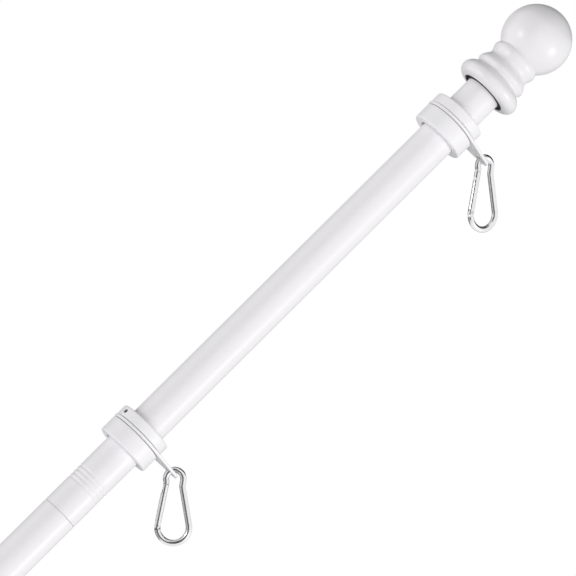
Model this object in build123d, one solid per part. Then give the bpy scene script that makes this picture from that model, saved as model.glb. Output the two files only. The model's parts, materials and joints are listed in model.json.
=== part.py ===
from build123d import *
import math
import os

os.makedirs("parts", exist_ok=True)

# All sizes are in millimetres and degrees.
# The pole leans as it does on a house wall, its butt end centred on the origin.
pole_lean = 45

# Tube sections, pushed one into the next
section_count = 5
section_length = 398.0
tube_radius = 12.5
tube_wall = 0.6
lip_radius = 0.3
neck_length = 36.0
neck_clearance = 0.2
shoulder_length = 1.2
seat_depth = 0.35

# Rolled grooves that hold a neck in the section above it
groove_count = 4
groove_first = 21.0
groove_pitch = 3.1
groove_half_width = 1.0
groove_depth = 0.3
grooved_lower_ends = 3

# Bushing in the finial's socket, round the top section's end
bushing_wall = 3.35
bushing_clearance = 0.05
bushing_grip = 15.0
bushing_floor = 2.6
bushing_floor_wall = 4.5
recess_inner_wall = 1.0
recess_outer_wall = 1.1
recess_depth = 5.0

# Finial: turned ball on a beaded neck. Its skirt and bead stand out from the socket's wall.
skirt_lip = 1.25
skirt_bulge = 6.7
skirt_height = 5.6
skirt_slope_wall = 4.3
skirt_slope_height = 10.3
skirt_groove_wall = 1.3
skirt_groove_height = 13.1
bead_wall = 2.6
bead_height = 15.9
cove_radius = 15.2
cove_height = 23.4
collar_bead_radius = 16.8
collar_bead_height = 29.1
ball_neck_radius = 15.5
ball_neck_height = 32.4
ball_radius = 23.1

# Anti-wrap rings: a collar with a sleeve, the tab plate and the ring that keeps it on
collar_clearance = 1.0
sleeve_wall = 1.2
sleeve_edge = 0.4
barrel_wall = 4.1
ring_edge = 0.9
collar_height = 11.95
retaining_height = 7.2
retaining_clearance = 0.05
seat_gap = 0.3
plate_thickness = 1.9
plate_rim = 0.4
plate_gap = 0.3
plate_edge = 0.4
tab_hole_reach = 12.6
tab_hole_radius = 3.2
tab_tip_radius = 6.1

# Set screws
clamp_screw_radius = 3.0
clamp_screw_recess = 0.4
clamp_screw_key = 3.0
clamp_screw_point = 0.8
lock_screw_radius = 1.5
lock_screw_recess = 0.3
lock_screw_key = 1.5
lock_screw_point = 0.4
screw_clearance = 0.05
socket_depth_share = 0.5

# Snap hooks: bent wire with a sprung gate
wire_radius = 2.0
eye_radius = 5.5
bend_radius = 10.0
eye_to_bend = 31.0
kink_angle = -44.5
kink_stand_off = 1.4
kink_radius = 3.0
hinge_angle = 175.0
hinge_shoulder = 2.5
hinge_clearance = 0.12
tang_thickness = 1.4
tang_radius = 1.9
rivet_radius = 0.8
rivet_length = 4.2
rivet_edge = 0.25
nose_angle = 203.0
nose_stand_off = 0.12
nose_gap = 0.35
nose_overrun = 0.95
gate_edge = 0.45
tongue_thickness = 1.4
tongue_inner = 0.9
tongue_outer = 1.6
tongue_clearance = 0.15
head_width = 3.0
head_length = 1.8
head_reach = 6.0
head_clearance = 0.35
hang_gap = 0.3
hang_shift = 0.15

# Where the rings sit: the upper one below the finial, the lower one above the topmost joint
upper_ring_below_finial = 42.3
lower_ring_above_joint = 55.8

tube_bore = tube_radius - tube_wall
neck_radius = tube_bore - neck_clearance
pitch = section_length - neck_length
finial_place = pitch * (section_count - 1) + section_length - bushing_grip
groove_stations = [groove_first + groove_pitch * i for i in range(groove_count)]

bushing_radius = tube_radius + bushing_wall
socket_radius = bushing_radius + bushing_clearance

collar_bore = tube_radius + collar_clearance
sleeve_radius = collar_bore + sleeve_wall
ring_radius = sleeve_radius + barrel_wall
plate_radius = ring_radius + plate_rim
tab_hole_place = ring_radius + tab_hole_reach
plate_base = collar_height + plate_gap
retaining_base = plate_base + plate_thickness + plate_gap
ring_height = retaining_base + retaining_height
ring_shift = collar_bore - tube_radius - seat_gap

# How each ring's screws and tab are turned about the pole, and its hook about the vertical
rings = {
    "upper": {
        "place": finial_place - upper_ring_below_finial,
        "clamp_turn": 150.0,
        "lock_turn": 60.0,
        "tab_turn": 4.0,
        "hook_turn": 19.0,
    },
    "lower": {
        "place": pitch * (section_count - 1) + lower_ring_above_joint,
        "clamp_turn": 105.0,
        "lock_turn": -163.0,
        "tab_turn": -3.0,
        "hook_turn": -17.0,
    },
}

on_pole = Rot(0, pole_lean, 0)


def along_pole(height):
    """A frame on the pole's axis, its X pointing down and out and its Z up the pole."""
    return on_pole * Pos(0, 0, height)


def turned(outline):
    """The solid that a closed outline of radius and height makes round the Z axis."""
    return revolve(Plane.XZ * make_face(outline), Axis.Z)


def grooved_line(radius, low, high, stations):
    """One side of a tube wall from low to high, dipping inward at each groove."""
    edges = []
    at = low
    for z in stations:
        start = z - groove_half_width
        end = z + groove_half_width
        edges.append(Line((radius, at), (radius, start)))
        edges.append(ThreePointArc((radius, start), (radius - groove_depth, z), (radius, end)))
        at = end
    return edges + [Line((radius, at), (radius, high))]


def swage(radius, low, high):
    """The smooth step of one wall line from the tube's size down to the neck's."""
    inward = radius - (tube_radius - neck_radius)
    middle = (low + high) / 2
    return Bezier((radius, low), (radius, middle), (inward, middle), (inward, high))


def tube_section(grooved, necked):
    """One section: plain or grooved above its lower end, with or without a neck on top."""
    lower = groove_stations if grooved else []
    upper = [pitch + z for z in groove_stations] if necked else []
    neck_start = pitch + seat_depth
    straight = neck_start - shoulder_length if necked else section_length
    outline = []
    for radius in (tube_radius, tube_bore):
        outline += grooved_line(radius, 0, straight, lower)
        if necked:
            step = tube_radius - neck_radius
            outline.append(swage(radius, straight, neck_start))
            outline += grooved_line(radius - step, neck_start, section_length, upper)
    top = neck_radius if necked else tube_radius
    outline.append(Line((tube_bore, 0), (tube_radius, 0)))
    outline.append(Line((top - tube_wall, section_length), (top, section_length)))
    tube = turned(outline)
    rims = tube.edges().filter_by(GeomType.CIRCLE).group_by(Axis.Z)
    lips = [max(rims[0], key=lambda e: e.radius), max(rims[-1], key=lambda e: e.radius)]
    return fillet(lips, lip_radius)


def pole_sections():
    """Sections from the top down, each seated on the neck of the one below it."""
    nodes = {}
    for i in range(section_count):
        tube = tube_section(grooved=i < grooved_lower_ends, necked=i > 0)
        nodes[f"section_{i + 1}"] = along_pole(pitch * (section_count - 1 - i)) * tube
    return nodes


def finial_body():
    """The turned ball, its neck and skirt, with the bushing's socket below."""
    ball_height = ball_neck_height + math.sqrt(ball_radius**2 - ball_neck_radius**2)
    socket_depth = bushing_grip + bushing_floor + bushing_clearance
    lip = (socket_radius + skirt_lip, 0)
    neck = (ball_neck_radius, ball_neck_height)
    # Places up the moulded outline, each with the direction in which the outline passes it
    skirt_line = {
        lip: (1, 0.1),
        (socket_radius + skirt_bulge, skirt_height): (0, 1),
        (socket_radius + skirt_slope_wall, skirt_slope_height): (-1, 1),
        (socket_radius + skirt_groove_wall, skirt_groove_height): (0, 1),
        (socket_radius + bead_wall, bead_height): (0, 1),
        (cove_radius, cove_height): (0, 1),
        (collar_bead_radius, collar_bead_height): (0, 1),
        neck: (-0.6, 1),
    }
    outline = [
        Line((0, socket_depth), (socket_radius, socket_depth)),
        Line((socket_radius, socket_depth), (socket_radius, 0)),
        Line((socket_radius, 0), lip),
        Spline(*skirt_line, tangents=list(skirt_line.values())),
        ThreePointArc(neck, (ball_radius, ball_height), (0, ball_height + ball_radius)),
        Line((0, ball_height + ball_radius), (0, socket_depth)),
    ]
    return turned(outline)


def upright(radius, height, base=0):
    """A round bar standing on a given height."""
    return Pos(0, 0, base) * Cylinder(radius, height, align=(Align.CENTER, Align.CENTER, Align.MIN))


def finial_bushing():
    """A cup round the top section's end, with a ring-shaped recess in its rim."""
    bore = tube_radius + bushing_clearance
    height = bushing_grip + bushing_floor
    cup = upright(bushing_radius, height) - upright(bore, bushing_grip)
    cup -= upright(bore - bushing_floor_wall, height)
    recess = Circle(bushing_radius - recess_outer_wall) - Circle(bore + recess_inner_wall)
    return cup - extrude(recess, recess_depth)


def outer_rims(solid, radius):
    """The circular edges of a solid that have the given radius."""
    rims = solid.edges().filter_by(GeomType.CIRCLE)
    return [e for e in rims if abs(e.radius - radius) < 0.01 and abs(e.arc_center.X) < 0.01]


def screw_hole(radius, height):
    """A hole along +X at the given height, from the ring's axis out through its wall."""
    return Pos(0, 0, height) * Rot(0, 90, 0) * upright(radius + screw_clearance, 2 * ring_radius)


def ring_collar():
    """Barrel and sleeve in one piece, its clamp screw's hole along +X."""
    barrel = upright(ring_radius, collar_height)
    barrel = fillet(outer_rims(barrel, ring_radius), ring_edge)
    collar = barrel + upright(sleeve_radius, ring_height)
    collar = chamfer(outer_rims(collar, sleeve_radius).pop(), sleeve_edge)
    collar -= upright(collar_bore, ring_height)
    return collar - screw_hole(clamp_screw_radius, collar_height / 2)


def retaining_ring():
    """The thin barrel on the sleeve, its lock screw's hole along +X."""
    ring = upright(ring_radius, retaining_height, retaining_base)
    ring = fillet(outer_rims(ring, ring_radius), ring_edge)
    ring -= upright(sleeve_radius + retaining_clearance, retaining_height, retaining_base)
    return ring - screw_hole(lock_screw_radius, retaining_base + retaining_height / 2)


def swivel_tab():
    """The plate between collar and retaining ring, drawn out to a holed tab along +X."""
    tip = Pos(tab_hole_place, 0) * Circle(tab_tip_radius)
    outline = make_hull(Circle(plate_radius).edges() + tip.edges())
    plate = extrude(outline, plate_thickness)
    plate = fillet(plate.faces().filter_by(Axis.Z).edges(), plate_edge)
    plate -= upright(sleeve_radius + plate_gap, plate_thickness)
    plate -= Pos(tab_hole_place, 0, 0) * upright(tab_hole_radius, plate_thickness)
    return Pos(0, 0, plate_base) * plate


def set_screw(radius, key, point, inner, recess, height):
    """A headless screw along +X, its point at the inner end and its hexagon socket outside."""
    length = ring_radius - recess - inner
    screw = upright(radius, length)
    screw = fillet(screw.edges().group_by(Axis.Z)[0], point)
    socket = RegularPolygon(key / 2, 6, major_radius=False)
    depth = length * socket_depth_share
    screw -= Pos(0, 0, length - depth) * extrude(socket, depth)
    return Pos(inner, 0, height) * Rot(0, 90, 0) * screw


def ring_nodes(name, ring):
    """One ring on the pole, pulled against the tube by its clamp screw."""
    shift = Rot(0, 0, ring["clamp_turn"]) * Pos(ring_shift, 0, 0)
    middle = shift.position
    axis = along_pole(ring["place"]) * Pos(middle.X, middle.Y, 0)
    clamp = axis * Rot(0, 0, ring["clamp_turn"])
    lock = axis * Rot(0, 0, ring["lock_turn"])
    tab = axis * Rot(0, 0, ring["tab_turn"])
    clamp_screw = set_screw(
        clamp_screw_radius,
        clamp_screw_key,
        clamp_screw_point,
        tube_radius - ring_shift + screw_clearance,
        clamp_screw_recess,
        collar_height / 2,
    )
    lock_screw = set_screw(
        lock_screw_radius,
        lock_screw_key,
        lock_screw_point,
        sleeve_radius + screw_clearance,
        lock_screw_recess,
        retaining_base + retaining_height / 2,
    )
    return tab, {
        f"{name}_collar": clamp * ring_collar(),
        f"{name}_clamp_screw": clamp * clamp_screw,
        f"{name}_swivel_tab": tab * swivel_tab(),
        f"{name}_retaining_ring": lock * retaining_ring(),
        f"{name}_lock_screw": lock * lock_screw,
    }


def polar(radius, angle, centre=(0, 0)):
    """A point of the hook's plane at an angle round a centre."""
    turn = math.radians(angle)
    return centre[0] + radius * math.cos(turn), centre[1] + radius * math.sin(turn)


bend_centre = (0, -eye_to_bend)
kink = polar(eye_radius + kink_stand_off, kink_angle)
nose_kink = polar(eye_radius + nose_stand_off, nose_angle)
hinge = polar(bend_radius, hinge_angle, bend_centre)
gate_reach = math.dist(hinge, nose_kink) - nose_overrun
gate_lean = math.degrees(math.atan2(nose_kink[0] - hinge[0], nose_kink[1] - hinge[1]))
gate_length = gate_reach - nose_gap
gate_frame = Pos(hinge[0], 0, hinge[1]) * Rot(0, gate_lean, 0)


def spine_angle():
    """Where on the bend the straight spine leaves it, so that it runs on to the kink."""
    reach = math.dist(bend_centre, kink)
    towards = math.degrees(math.atan2(kink[1] - bend_centre[1], kink[0]))
    return towards - math.degrees(math.acos(bend_radius / reach))


def eye_lead(stand_off):
    """How far round the eye the wire leaves it before it comes to a corner that stands off it."""
    return math.degrees(math.acos(eye_radius / (eye_radius + stand_off)))


def hook_path():
    """The wire's centre line, from the hinge round the bend, up the spine and over the eye."""
    start = hinge_angle + math.degrees(hinge_shoulder / bend_radius)
    leave = spine_angle()
    meet = kink_angle + eye_lead(kink_stand_off)
    part = nose_angle - eye_lead(nose_stand_off)
    nose = Vector(*hinge) + (Vector(*nose_kink) - Vector(*hinge)).normalized() * gate_reach
    bend = CenterArc(bend_centre, bend_radius, start, 360 + leave - start)
    spine = FilletPolyline(
        polar(bend_radius, leave, bend_centre), kink, polar(eye_radius, meet), radius=kink_radius
    )
    eye = CenterArc((0, 0), eye_radius, meet, part - meet)
    end = FilletPolyline(polar(eye_radius, part), nose_kink, (nose.X, nose.Y), radius=kink_radius)
    return Plane.XZ * Wire(bend.edges() + spine.edges() + eye.edges() + end.edges())


def gate_bar(low, high, inner, outer, width):
    """A block in the gate's frame: along the gate, across it from inner to outer, and thick."""
    block = Box(inner + outer, width, high - low, align=(Align.MIN, Align.CENTER, Align.MIN))
    return gate_frame * Pos(-outer, 0, low) * block


def rivet_bar(radius, length):
    """A bar across the hinge."""
    return Pos(hinge[0], 0, hinge[1]) * Rot(90, 0, 0) * Cylinder(radius, length)


def hook_body():
    """The bent wire, flattened to a tang at the hinge and to a headed tongue at the nose."""
    path = hook_path()
    wire = sweep(Plane(path @ 0, z_dir=path % 0) * Circle(wire_radius), path)
    start = path @ 0
    foot = Vector(hinge[0] - start.X, hinge[1] - start.Z)
    tang = Pos(start.X + foot.X / 2, start.Z + foot.Y / 2) * Rot(
        0, 0, math.degrees(math.atan2(foot.Y, foot.X))
    )
    tang *= SlotCenterToCenter(foot.length, 2 * tang_radius)
    wire += extrude(Plane.XZ * tang, tang_thickness / 2, both=True)
    wire -= rivet_bar(rivet_radius + screw_clearance, 4 * wire_radius)
    low = gate_length - head_reach
    wire += gate_bar(low, gate_reach + nose_overrun, tongue_inner, tongue_outer, tongue_thickness)
    wire += gate_bar(low, low + head_length, tongue_inner, tongue_outer, head_width)
    return wire


def hook_gate():
    """The round gate: forked over the tang, its bevelled nose slotted for the tongue and its head."""
    bar = upright(wire_radius, gate_length + wire_radius, -wire_radius)
    bar = gate_frame * chamfer(bar.edges().filter_by(GeomType.CIRCLE).sort_by(Axis.Z)[-1], gate_edge)
    face = Pos(0, (gate_length + 2 * wire_radius) / 2) * SlotCenterToCenter(
        gate_length + 2 * wire_radius, 2 * wire_radius, rotation=90
    )
    bar &= gate_frame * extrude(Plane.XZ * face, 2 * wire_radius, both=True)
    fork = tang_thickness + 2 * hinge_clearance
    bar -= gate_bar(-wire_radius, tang_radius + nose_gap, 2 * wire_radius, 2 * wire_radius, fork)
    bar -= rivet_bar(rivet_radius + screw_clearance, 4 * wire_radius)
    low = gate_length - head_reach - head_clearance
    inner = tongue_inner + head_clearance
    slot = tongue_thickness + 2 * tongue_clearance
    bar -= gate_bar(low, gate_length, inner, 2 * wire_radius, slot)
    pocket = head_width + 2 * tongue_clearance
    bar -= gate_bar(low, low + head_length + 2 * head_clearance, inner, 2 * wire_radius, pocket)
    return bar


def hook_rivet():
    """The rivet through fork and tang."""
    rivet = rivet_bar(rivet_radius, rivet_length)
    return fillet(rivet.edges().filter_by(GeomType.CIRCLE), rivet_edge)


def hook_frame(tab_frame, ring):
    """The upright frame at the centre of the hook's eye, hung over the tab's outer bridge.

    A turned eye shifts sideways by a share of its reach, to pass clear through the tab's hole.
    """
    bridge = tab_frame * Pos(tab_hole_place + tab_hole_radius, 0, plate_base + plate_thickness)
    crest = bridge.position
    shift = hang_shift * eye_radius * math.sin(math.radians(ring["hook_turn"]))
    drop = eye_radius - wire_radius - hang_gap
    return Pos(crest.X, crest.Y + shift, crest.Z - drop) * Rot(0, 0, ring["hook_turn"])


def hook_nodes(name, frame):
    """One snap hook, its gate toward the pole."""
    return {
        f"{name}_hook_body": frame * hook_body(),
        f"{name}_hook_gate": frame * hook_gate(),
        f"{name}_hook_rivet": frame * hook_rivet(),
    }


nodes = pole_sections()
nodes["finial"] = along_pole(finial_place) * finial_body()
nodes["finial_bushing"] = along_pole(finial_place) * finial_bushing()
for ring_name, ring in rings.items():
    tab_frame, pieces = ring_nodes(ring_name, ring)
    nodes |= pieces
    nodes |= hook_nodes(ring_name, hook_frame(tab_frame, ring))

for node, solid in nodes.items():
    export_step(solid, f"parts/{node}.step")
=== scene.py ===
import json
import math

import bmesh
import bpy
from mathutils import Matrix, Vector


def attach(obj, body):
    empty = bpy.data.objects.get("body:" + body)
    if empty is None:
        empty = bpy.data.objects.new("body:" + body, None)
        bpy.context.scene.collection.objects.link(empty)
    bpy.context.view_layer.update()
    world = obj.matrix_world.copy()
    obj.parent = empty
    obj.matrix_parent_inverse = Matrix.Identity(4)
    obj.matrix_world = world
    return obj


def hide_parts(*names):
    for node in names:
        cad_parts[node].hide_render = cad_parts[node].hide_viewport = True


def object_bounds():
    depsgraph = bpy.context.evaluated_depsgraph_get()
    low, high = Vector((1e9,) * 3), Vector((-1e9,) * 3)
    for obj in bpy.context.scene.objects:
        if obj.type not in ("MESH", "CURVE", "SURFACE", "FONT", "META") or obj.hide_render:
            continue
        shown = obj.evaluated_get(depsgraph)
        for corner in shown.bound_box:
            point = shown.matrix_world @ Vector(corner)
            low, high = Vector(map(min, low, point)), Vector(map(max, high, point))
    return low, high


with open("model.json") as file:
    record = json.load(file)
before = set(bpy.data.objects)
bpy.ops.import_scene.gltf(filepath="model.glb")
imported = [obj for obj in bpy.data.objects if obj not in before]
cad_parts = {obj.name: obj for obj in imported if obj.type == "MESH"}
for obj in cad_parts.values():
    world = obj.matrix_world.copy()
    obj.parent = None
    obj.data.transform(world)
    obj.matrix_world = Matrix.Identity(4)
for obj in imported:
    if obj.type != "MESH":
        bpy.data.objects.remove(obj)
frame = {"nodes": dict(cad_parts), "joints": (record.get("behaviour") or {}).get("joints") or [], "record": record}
cad_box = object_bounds()

mm = 0.001

# The camera stands before the pole's upper half and looks slightly down, a little from the left
camera_azimuth = -17.34
camera_elevation = 3.825
camera_roll = 2.03
camera_distance = 2.6985
camera_target = Vector((1.16842, 0, 1.16732))
camera_field = 7.747
camera_near = 0.05
camera_far = 100.0
sensor_width = 36.0

# The studio
floor_gap = 0.2 * mm
floor_half_width = 3.0
floor_colour = (0.86, 0.86, 0.86)
floor_glow = 1.55
floor_glow_share = 0.5
ambient_level = 0.42
lamp_distance = 2.0
pure_white = (1, 1, 1, 1)
sheet_corners = ((-1, -1), (1, -1), (1, 1), (-1, 1))

# Colours of the finishes
coat_white = (0.852, 0.838, 0.859)
coat_shade = (0.824, 0.808, 0.833)
ring_white = (0.863, 0.851, 0.871)
ring_shade = (0.836, 0.823, 0.846)
finial_white = (0.83, 0.816, 0.833)
finial_shade = (0.79, 0.775, 0.794)
bare_aluminium = (0.74, 0.74, 0.75)
bushing_black = (0.012, 0.012, 0.014)
bushing_dust = (0.05, 0.049, 0.047)
# Grey of rub wear on the rings, also used as painted shade at the tube's seams
rub_and_seam_shade_grey = (0.62, 0.62, 0.63)
steel_dark = (0.2, 0.2, 0.205)
steel_light = (0.42, 0.42, 0.43)
zinc_bright = (0.86, 0.86, 0.87)
zinc_dull = (0.7, 0.705, 0.72)

joints = {j["name"]: j for j in frame["joints"]}
up_pole = Vector(joints["upper_ring_slide"]["axis"]).normalized()
pole_lean = math.atan2(up_pole.x, up_pole.z)
rings = ("upper", "lower")


def points_of(node):
    """The corners of a CAD node's mesh."""
    return [v.co for v in frame["nodes"][node].data.vertices]


def reach(points, direction):
    """The lowest and highest place of some points along a direction."""
    places = [p.dot(direction) for p in points]
    return min(places), max(places)


def off_axis(point):
    """How far a point is from the pole's axis."""
    return (point - up_pole * point.dot(up_pole)).length


class Value:
    """A shader socket that takes part in sums as a number does."""

    def __init__(self, shader, socket):
        self.shader = shader
        self.socket = socket

    def __add__(self, other):
        return self.shader.math("ADD", self, other)

    def __radd__(self, other):
        return self.shader.math("ADD", other, self)

    def __sub__(self, other):
        return self.shader.math("SUBTRACT", self, other)

    def __rsub__(self, other):
        return self.shader.math("SUBTRACT", other, self)

    def __mul__(self, other):
        return self.shader.math("MULTIPLY", self, other)

    def __rmul__(self, other):
        return self.shader.math("MULTIPLY", other, self)

    def __pow__(self, other):
        return self.shader.math("POWER", self, other)

    def __abs__(self):
        return self.shader.math("ABSOLUTE", self)


class Shader:
    """The nodes of one finish, or of the world."""

    def __init__(self, owner):
        owner.use_nodes = True
        self.owner = owner
        self.tree = owner.node_tree
        self.tree.nodes.clear()

    def node(self, kind, settings=None, inputs=None, output=None):
        """Adds a node: its settings first, then its sockets' values or links.

        Gives its first output, or the one that is named, or a list for several names.
        """
        made = self.tree.nodes.new(kind)
        for name, value in (settings or {}).items():
            setattr(made, name, value)
        sockets = {s.identifier: s for s in made.inputs}
        for name, value in (inputs or {}).items():
            if isinstance(value, Value):
                self.tree.links.new(value.socket, sockets[name])
            else:
                sockets[name].default_value = value
        outputs = {s.identifier: Value(self, s) for s in made.outputs}
        if isinstance(output, tuple):
            return [outputs[name] for name in output]
        return outputs[output] if output else next(iter(outputs.values()), None)

    def math(self, operation, *values):
        """A sum of one or two values."""
        inputs = dict(zip(("Value", "Value_001"), values))
        return self.node("ShaderNodeMath", {"operation": operation}, inputs)

    def blend(self, share, first, second):
        """The first colour turning to the second as share goes from 0 to 1."""
        first = (*first, 1) if isinstance(first, tuple) else first
        second = (*second, 1) if isinstance(second, tuple) else second
        inputs = {"Factor_Float": share, "A_Color": first, "B_Color": second}
        return self.node("ShaderNodeMix", {"data_type": "RGBA"}, inputs, "Result_Color")

    def step(self, value, low, high):
        """0 below low, 1 above high and smooth between."""
        inputs = {"Value": value, "From Min": low, "From Max": high}
        return self.node("ShaderNodeMapRange", {"interpolation_type": "SMOOTHSTEP"}, inputs)

    def place(self, turn=(0, 0, 0), scale=(1, 1, 1)):
        """A place on the object, turned and stretched."""
        here = self.node("ShaderNodeTexCoord", output="Object")
        return self.node("ShaderNodeMapping", None, {"Vector": here, "Rotation": turn, "Scale": scale})

    def along_pole(self, scale=(1, 1, 1)):
        """A place on the object with Z up the pole."""
        turned = self.place(turn=(0, -pole_lean, 0))
        return self.node("ShaderNodeMapping", None, {"Vector": turned, "Scale": scale})

    def split(self, vector):
        """The three numbers of a place."""
        return self.node("ShaderNodeSeparateXYZ", None, {"Vector": vector}, ("X", "Y", "Z"))

    def noise(self, vector, size, detail=2.0, roughness=0.5):
        """Soft grain, 0 to 1, whose features are about the given size."""
        inputs = {"Vector": vector, "Scale": 1 / size, "Detail": detail, "Roughness": roughness}
        return self.node("ShaderNodeTexNoise", None, inputs)

    def nearness(self, point, near, far):
        """1 within near of a point, fading to 0 at far."""
        here = self.node("ShaderNodeTexCoord", output="Object")
        inputs = {"Vector": here, "Vector_001": tuple(point)}
        gap = self.node("ShaderNodeVectorMath", {"operation": "DISTANCE"}, inputs, "Value")
        return 1 - self.step(gap, near, far)

    def bump(self, height, depth, normal=None):
        """The normal of a surface raised by height times depth, on top of another such normal."""
        inputs = {"Height": height, "Distance": depth, "Strength": 1.0}
        if normal:
            inputs["Normal"] = normal
        return self.node("ShaderNodeBump", None, inputs)

    def finish(self, inputs):
        """Closes a material with its surface shader."""
        surface = self.node("ShaderNodeBsdfPrincipled", None, inputs)
        self.node("ShaderNodeOutputMaterial", None, {"Surface": surface})
        return self.owner


def new_shader(name):
    """The empty shader of a new material."""
    return Shader(bpy.data.materials.new(name))


def powder_coat(shader, white, shade, streak_length):
    """The satin coat's colour, roughness and orange peel, with faint marks of the drawn metal."""
    streak_width = 0.5 * mm
    drift = shader.noise(shader.along_pole(scale=(1, 1, 0.2)), size=22 * mm, detail=3)
    drawn_out = shader.along_pole(scale=(1, 1, streak_width / streak_length))
    streaks = shader.noise(drawn_out, size=streak_width)
    peel = shader.noise(shader.along_pole(), size=1.3 * mm, roughness=0.45)
    grain = shader.noise(shader.along_pole(), size=0.25 * mm, roughness=0.6)
    colour = shader.blend(drift * 0.7 + grain * 0.3, shade, white)
    roughness = 0.27 + 0.1 * drift + 0.05 * streaks
    normal = shader.bump(peel, depth=0.02 * mm)
    normal = shader.bump(grain, depth=0.003 * mm, normal=normal)
    return colour, roughness, normal


def tube_finish():
    """White coat, bare aluminium on the necks that go inside, and grey blotches where the sections meet, partly
    rub wear and partly painted shade at the joints.
    """
    shader = new_shader("tube_coat")
    colour, roughness, normal = powder_coat(shader, coat_white, coat_shade, streak_length=60 * mm)
    x, y, z = shader.split(shader.along_pole())
    radius = (x * x + y * y) ** 0.5
    bare = 1 - shader.step(radius, low=11.8 * mm, high=11.9 * mm)
    drawn = shader.noise(shader.along_pole(scale=(1, 1, 0.01)), size=0.4 * mm, detail=3, roughness=0.6)
    scuffs = shader.noise(shader.along_pole(scale=(1, 1, 0.3)), size=0.8 * mm, detail=4, roughness=0.7)
    seams = [reach(points_of(f"section_{i}"), up_pole)[0] for i in range(1, 6)]
    # Painted shade at the joints: grey within 2.5 mm of each seam, broken up by scuff noise so that it also reads
    # as rub wear
    near_seam = sum(1 - shader.step(abs(z - seam), low=0.2 * mm, high=2.5 * mm) for seam in seams)
    rub_and_seam_shade = near_seam * shader.step(scuffs, low=0.5, high=0.75) * 0.35
    colour = shader.blend(rub_and_seam_shade, colour, rub_and_seam_shade_grey)
    colour = shader.blend(bare, colour, bare_aluminium)
    return shader.finish({
        "Base Color": colour,
        "Metallic": bare,
        "Roughness": roughness * (1 - bare) + (0.35 + 0.2 * drawn) * bare,
        "Normal": normal,
    })


def ring_finish():
    """White satin coat on turned aluminium, rubbed where the hook hangs."""
    shader = new_shader("ring_coat")
    colour, roughness, normal = powder_coat(shader, ring_white, ring_shade, streak_length=4 * mm)
    scuffs = shader.noise(shader.place(), size=0.5 * mm, detail=4, roughness=0.7)
    eyes = [joints[f"{ring}_hook_swing"]["pos_m"] for ring in rings]
    touch = sum(shader.nearness(eye, near=3.2 * mm, far=5 * mm) for eye in eyes)
    rub_and_seam_shade = touch * shader.step(scuffs, low=0.45, high=0.7) * 0.4
    return shader.finish({
        "Base Color": shader.blend(rub_and_seam_shade, colour, rub_and_seam_shade_grey),
        "Roughness": roughness + 0.04 + 0.1 * rub_and_seam_shade,
        "Normal": normal,
    })


def finial_finish():
    """Glossy moulded plastic with the slightest waviness."""
    shader = new_shader("finial_gloss")
    drift = shader.noise(shader.along_pole(), size=18 * mm)
    waves = shader.noise(shader.along_pole(scale=(1, 1, 1.6)), size=5 * mm, detail=1)
    specks = shader.noise(shader.along_pole(), size=0.3 * mm, detail=3, roughness=0.7)
    normal = shader.bump(waves, depth=0.03 * mm)
    normal = shader.bump(specks, depth=0.0012 * mm, normal=normal)
    return shader.finish({
        "Base Color": shader.blend(drift, finial_shade, finial_white),
        "Roughness": 0.28 + 0.05 * drift + 0.05 * shader.step(specks, low=0.6, high=0.8),
        "Normal": normal,
    })


def bushing_finish():
    """Black moulded plastic with a matt grain and a little dust."""
    shader = new_shader("bushing_plastic")
    grain = shader.noise(shader.place(), size=0.2 * mm, detail=3, roughness=0.6)
    dust = shader.noise(shader.place(), size=1.5 * mm, detail=4, roughness=0.65)
    dusty = shader.step(dust, low=0.5, high=0.8) * 0.5
    return shader.finish({
        "Base Color": shader.blend(dusty, bushing_black, bushing_dust),
        "Roughness": 0.38 + 0.2 * dust,
        "Normal": shader.bump(grain, depth=0.01 * mm),
    })


def plated_steel(name, bright, dull, least_roughness, mark_scale):
    """Plated steel: bright, with fine drawing marks and faint cloudy patches."""
    shader = new_shader(name)
    clouds = shader.noise(shader.place(), size=3.5 * mm, detail=3)
    marks = shader.noise(shader.place(scale=mark_scale), size=0.12 * mm, detail=3, roughness=0.6)
    pits = shader.noise(shader.place(), size=0.35 * mm, detail=3, roughness=0.7)
    pitted = shader.step(pits, low=0.66, high=0.8)
    colour = shader.blend(clouds * 0.6 + pitted * 0.4, bright, dull)
    normal = shader.bump(marks, depth=0.0012 * mm)
    normal = shader.bump(1 - pitted, depth=0.004 * mm, normal=normal)
    return shader.finish({
        "Base Color": colour,
        "Metallic": 1.0,
        "Roughness": least_roughness + 0.05 * clouds + 0.06 * marks + 0.1 * pitted,
        "Normal": normal,
    })


finishes = {
    "tube": tube_finish(),
    "ring": ring_finish(),
    "finial": finial_finish(),
    "bushing": bushing_finish(),
    "set_screw": plated_steel("screw_steel", steel_light, steel_dark, 0.28, (1, 1, 1)),
    "hook": plated_steel("hook_zinc", zinc_bright, zinc_dull, 0.13, (1, 1, 0.25)),
    "gate": plated_steel("gate_zinc", zinc_bright, zinc_dull, 0.14, (1, 1, 0.05)),
    "rivet": plated_steel("rivet_zinc", zinc_dull, steel_light, 0.2, (1, 1, 1)),
}

for subpart in frame["record"]["subparts"]:
    node = frame["nodes"][subpart["node"]]
    node.data.materials.clear()
    node.data.materials.append(finishes[subpart["material_slot"]])


def show(name, data):
    """Puts a mesh, a lamp or a camera into the scene."""
    shown = bpy.data.objects.new(name, data)
    bpy.context.scene.collection.objects.link(shown)
    return shown


def mesh_of(form, name, sharp_angle):
    """The mesh of a finished form, smooth but for its sharp edges."""
    mesh = bpy.data.meshes.new(name)
    form.to_mesh(mesh)
    form.free()
    mesh.shade_smooth()
    mesh.set_sharp_from_angle(angle=math.radians(sharp_angle))
    return mesh


def add_piece(name, mesh, slot, body):
    """Puts a finished mesh, already in place, on its body."""
    piece = show(name, mesh)
    mesh.materials.append(finishes[slot])
    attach(piece, body)
    return piece


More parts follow.
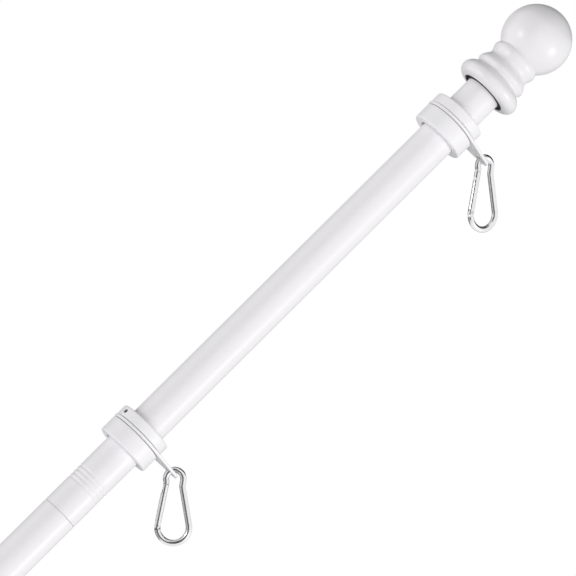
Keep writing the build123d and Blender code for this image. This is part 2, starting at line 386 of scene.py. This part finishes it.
def skin(name, loops, sharp_angle):
    """A closed mesh over loops of points of equal number, each end drawn to a last single point."""
    form = bmesh.new()
    first, *middle, last = loops
    rows = [[form.verts.new(p) for p in loop] for loop in middle]
    for low, high in zip(rows, rows[1:]):
        for i, corner in enumerate(low):
            form.faces.new((low[i - 1], corner, high[i], high[i - 1]))
    for tip, row, flip in ((first, rows[0], False), (last, rows[-1], True)):
        point = form.verts.new(tip[0])
        for i, corner in enumerate(row):
            pair = (row[i - 1], corner) if flip else (corner, row[i - 1])
            form.faces.new((*pair, point))
    bmesh.ops.recalc_face_normals(form, faces=form.faces)
    return mesh_of(form, name, sharp_angle)


# Set screws: metric threads, a hexagon socket outside and a cup point inside
screw_pitch = {"clamp": 1.0 * mm, "lock": 0.5 * mm}
screw_key = {"clamp": 3.0 * mm, "lock": 1.5 * mm}
screw_sides = 48
steps_a_turn = 8
screw_sharp_angle = 35

# Their thread's depth as a share of its pitch and the steepness of its flanks
thread_depth_share = 0.61
thread_flank = 2.6

# Their cup as a share of the screw's radius, and their socket as shares of its length and the key's width
cup_share = 0.45
cup_depth_share = 0.5
socket_share = 0.5
socket_chamfer_share = 0.1
socket_floor_share = 0.45
socket_tip_share = 0.2


def hexagon(key, angle):
    """How far a hexagon of the given width reaches at an angle."""
    side = math.pi / 3
    return key / 2 / math.cos((angle % side) - side / 2)


def threaded_screw(name, length, radius, pitch, key):
    """A set screw standing on its point, its outer end up."""
    depth = thread_depth_share * pitch
    turns = [2 * math.pi * i / screw_sides for i in range(screw_sides)]

    def ring_at(height, radius_at):
        return [Vector((radius_at(a) * math.cos(a), radius_at(a) * math.sin(a), height)) for a in turns]

    def thread(height):
        cap = radius - max(0, depth - height, depth - (length - height))

        def radius_at(angle):
            phase = (height / pitch - angle / (2 * math.pi)) % 1
            ridge = min(1, thread_flank * abs(phase - 0.5))
            return min(cap, radius - depth * ridge)
        return radius_at

    cup = cup_share * radius
    rows = [[Vector((0, 0, cup_depth_share * cup))], ring_at(0, lambda a: cup)]
    count = round(length / pitch * steps_a_turn)
    rows += [ring_at(length * i / count, thread(length * i / count)) for i in range(count + 1)]
    chamfer = socket_chamfer_share * key
    socket_floor = length * (1 - socket_share)
    rows.append(ring_at(length, lambda a: hexagon(key, a) + chamfer))
    rows.append(ring_at(length - chamfer, lambda a: hexagon(key, a)))
    rows.append(ring_at(socket_floor, lambda a: hexagon(key, a)))
    rows.append(ring_at(socket_floor, lambda a: socket_floor_share * key))
    rows.append([Vector((0, 0, socket_floor - socket_tip_share * key))])
    return skin(name, rows, screw_sharp_angle)


def add_set_screw(ring, kind):
    """Puts a threaded screw where the CAD has a plain one."""
    node = f"{ring}_{kind}_screw"
    points = points_of(node)
    centre = Vector(joints[f"{ring}_tab_swivel"]["pos_m"])
    middle = sum(points, Vector()) / len(points) - centre
    outward = (middle - up_pole * middle.dot(up_pole)).normalized()
    inner, outer = reach(points, outward)
    low, high = reach(points, up_pole)
    start = centre + outward * (inner - centre.dot(outward))
    start += up_pole * ((low + high) / 2 - centre.dot(up_pole))
    name = f"{node}_threaded"
    mesh = threaded_screw(name, outer - inner, (high - low) / 2, screw_pitch[kind], screw_key[kind])
    sideways = up_pole.cross(outward)
    turn = Matrix((up_pole, sideways, outward)).transposed().to_4x4()
    mesh.transform(Matrix.Translation(start) @ turn)
    piece = add_piece(name, mesh, "set_screw", f"{ring}_ring")
    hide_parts(node)


for ring in rings:
    for kind in ("clamp", "lock"):
        add_set_screw(ring, kind)

# Moulded ribs across the bushing's recess
rib_count = 32
rib_thickness = 0.5 * mm
rib_setback = 0.5 * mm
rib_overlap = 0.1 * mm
rib_edge = 0.12 * mm
rib_sharp_angle = 40
mouth_depth = 0.01 * mm


def add_bushing_ribs():
    """Thin ribs between the bushing's two walls, set back from its mouth."""
    points = points_of("finial_bushing")
    mouth, _ = reach(points, up_pole)
    radii = [off_axis(p) for p in points if p.dot(up_pole) < mouth + mouth_depth]
    radii = sorted({round(r / mm, 1) for r in radii})
    inner = radii[1] * mm - rib_overlap
    outer = radii[-2] * mm + rib_overlap
    recess = max(p.dot(up_pole) for p in points if inner < off_axis(p) < outer)
    form = bmesh.new()
    for i in range(rib_count):
        size = Vector((outer - inner, rib_thickness, recess - mouth - rib_setback))
        place = Matrix.Translation(((inner + outer) / 2, 0, (recess + mouth + rib_setback) / 2))
        turn = Matrix.Rotation(2 * math.pi * i / rib_count, 4, "Z")
        bmesh.ops.create_cube(form, size=1, matrix=turn @ place @ Matrix.Diagonal((*size, 1)))
    bmesh.ops.bevel(form, geom=form.edges, offset=rib_edge, segments=2, affect="EDGES")
    mesh = mesh_of(form, "bushing_ribs", rib_sharp_angle)
    mesh.transform(Matrix.Rotation(pole_lean, 4, "Y"))
    add_piece("bushing_ribs", mesh, "bushing", "pole")


add_bushing_ribs()


def towards_white(shader, level):
    """1 on camera, glossy and transmission rays, and the given level on the rays that light the object."""
    kinds = ("Is Camera Ray", "Is Glossy Ray", "Is Transmission Ray")
    rays = shader.node("ShaderNodeLightPath", output=kinds)
    seen = shader.math("MINIMUM", sum(rays), 1)
    return level + (1 - level) * seen


def make_world():
    """An even pale surrounding that is seen as pure white."""
    world = bpy.data.worlds.new("studio")
    bpy.context.scene.world = world
    shader = Shader(world)
    inputs = {"Color": pure_white, "Strength": towards_white(shader, ambient_level)}
    background = shader.node("ShaderNodeBackground", None, inputs)
    shader.node("ShaderNodeOutputWorld", None, {"Surface": background})


def make_sheet(name, corners, shader, surface):
    """A flat studio sheet whose glow is seen but isn't searched for as a lamp."""
    shader.node("ShaderNodeOutputMaterial", None, {"Surface": surface})
    shader.owner.cycles.emission_sampling = "NONE"
    mesh = bpy.data.meshes.new(name)
    mesh.from_pydata(corners, [], [(0, 1, 2, 3)])
    mesh.materials.append(shader.owner)
    return show(name, mesh)


def make_floor():
    """A pale floor that is seen as white apart from the object's shadow."""
    height = cad_box[0].z - floor_gap
    corners = [(i * floor_half_width, j * floor_half_width, height) for i, j in sheet_corners]
    shader = new_shader("floor_paper")
    seen = towards_white(shader, 0) * floor_glow_share
    matt = shader.node("ShaderNodeBsdfDiffuse", None, {"Color": (*floor_colour, 1)})
    glow = shader.node("ShaderNodeEmission", None, {"Color": pure_white, "Strength": floor_glow})
    surface = shader.node("ShaderNodeMixShader", None, {"Fac": seen, "Shader": matt, "Shader_001": glow})
    floor = make_sheet("floor", corners, shader, surface)
    floor.visible_shadow = False


def camera_axes():
    """The camera's right, up and backward directions."""
    azimuth = math.radians(camera_azimuth)
    elevation = math.radians(camera_elevation)
    forward = Vector((
        -math.sin(azimuth) * math.cos(elevation),
        math.cos(azimuth) * math.cos(elevation),
        -math.sin(elevation),
    ))
    right = forward.cross(Vector((0, 0, 1))).normalized()
    up = right.cross(forward)
    roll = math.radians(camera_roll)
    return (
        right * math.cos(roll) + up * math.sin(roll),
        up * math.cos(roll) - right * math.sin(roll),
        -forward,
    )


camera_right, camera_up, camera_back = camera_axes()


def make_camera():
    """The camera at the photograph's viewing angle."""
    data = bpy.data.cameras.new("camera")
    data.sensor_width = sensor_width
    data.lens = sensor_width / 2 / math.tan(math.radians(camera_field) / 2)
    data.clip_start = camera_near
    data.clip_end = camera_far
    camera = show("camera", data)
    axes = Matrix((camera_right, camera_up, camera_back)).transposed().to_4x4()
    camera.matrix_world = Matrix.Translation(camera_target + camera_back * camera_distance) @ axes
    bpy.context.scene.camera = camera


def studio_place(turn, lift, distance):
    """A place round the pole's upper part, turned from the camera to its right, its Z to the pole."""
    turn, lift = math.radians(turn), math.radians(lift)
    level = camera_back * math.cos(turn) + camera_right * math.sin(turn)
    facing = level * math.cos(lift) + camera_up * math.sin(lift)
    across = camera_up.cross(facing).normalized()
    axes = Matrix((across, facing.cross(across), facing)).transposed().to_4x4()
    return Matrix.Translation(camera_target + facing * distance) @ axes


def make_lamp(name, turn, lift, spread, strength, in_gloss=True):
    """A far soft lamp, the same all along the pole; gloss and bright metal may not see it."""
    data = bpy.data.lights.new(name, "SUN")
    data.angle = math.radians(spread)
    data.energy = strength
    lamp = show(name, data)
    lamp.matrix_world = studio_place(turn, lift, lamp_distance)
    lamp.visible_camera = False
    lamp.visible_glossy = in_gloss


def make_flag(name, turn, lift, distance, size, level):
    """A grey card that only bright metal and gloss see, as bright as the given level."""
    place = studio_place(turn, lift, distance)
    x, y = size[0] / 2, size[1] / 2
    corners = [place @ Vector((i * x, j * y, 0)) for i, j in sheet_corners]
    shader = new_shader(name)
    glow = shader.node("ShaderNodeEmission", None, {"Color": (level, level, level, 1)})
    flag = make_sheet(name, corners, shader, glow)
    flag.visible_camera = False
    flag.visible_diffuse = False
    flag.visible_shadow = False


make_world()
make_floor()
make_camera()
make_lamp("right_lamp", turn=60, lift=-36, spread=20, strength=0.76)
make_lamp("left_lamp", turn=-56, lift=15, spread=11, strength=0.45)
make_lamp("side_fill", turn=-90, lift=8, spread=50, strength=1.15, in_gloss=False)
make_lamp("low_fill", turn=42, lift=-33, spread=50, strength=0.95, in_gloss=False)
make_lamp("front_fill", turn=0, lift=8, spread=50, strength=0.62, in_gloss=False)
make_flag("front_flag", turn=-14, lift=8, distance=1.2, size=(0.97, 2.2), level=0.1)
make_flag("left_flag", turn=-87, lift=-27, distance=1.25, size=(3.1, 1.0), level=0.4)
make_flag("outline_flag", turn=-138, lift=8, distance=1.3, size=(0.9, 2.4), level=0.08)
make_flag("rear_flag", turn=182, lift=0, distance=1.25, size=(1.9, 3.4), level=0.4)
make_flag("roof_flag", turn=130, lift=46, distance=1.0, size=(1.9, 1.5), level=0.0)

bpy.context.scene.view_settings.view_transform = "Standard"
